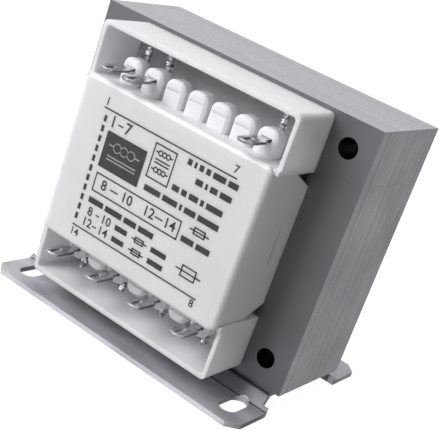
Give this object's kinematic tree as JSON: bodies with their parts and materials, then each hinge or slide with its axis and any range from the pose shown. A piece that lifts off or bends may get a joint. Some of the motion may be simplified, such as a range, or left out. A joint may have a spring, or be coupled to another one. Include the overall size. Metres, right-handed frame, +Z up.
{
  "type": "laminated chassis transformer",
  "caption": "Open laminated transformer on a slotted sheet-steel foot plate, with a moulded two-chamber coil former, front cover and soldered lugs above and below.",
  "frame": {"origin": "middle of the object's footprint, on the plane that the two feet stand on", "axes": "+X along the core's length, -Y towards the terminal boxes and lugs (the front), +Z up from the feet"},
  "size_m": [0.06, 0.049, 0.0541],
  "materials": {
    "lamination_steel": "bare cold-rolled sheet, satin, fine laminations showing on the edges",
    "plate_steel": "zinc-plated sheet, satin",
    "weld_metal": "rough weld bead",
    "moulded_nylon": "off-white moulded nylon, slightly glossy",
    "winding_copper": "enamelled copper wire",
    "insulating_tape": "polyester film tape",
    "thermistor_ceramic": "lacquered disc",
    "tinned_lug": "bright tin plating",
    "soldered_wire": "bright solder over wire"
  },
  "bodies": {
    "root": {"e_lamination_stack": "lamination_steel", "i_lamination_stack": "lamination_steel", "mounting_plate": "plate_steel", "plate_welds": "weld_metal", "coil_former": "moulded_nylon", "winding_cover": "moulded_nylon", "primary_winding": "winding_copper", "secondary_winding_1": "winding_copper", "secondary_winding_2": "winding_copper", "secondary_insulation": "insulating_tape", "primary_tape": "insulating_tape", "secondary_tape": "insulating_tape", "thermistor": "thermistor_ceramic", "lug_1": "tinned_lug", "lead_1": "soldered_wire", "lug_2": "tinned_lug", "lead_2": "soldered_wire", "lug_7": "tinned_lug", "lead_7": "soldered_wire", "lug_8": "tinned_lug", "lead_8": "soldered_wire", "lug_10": "tinned_lug", "lead_10": "soldered_wire", "lug_12": "tinned_lug", "lead_12": "soldered_wire", "lug_14": "tinned_lug", "lead_14": "soldered_wire"}
  },
  "joints": []
}
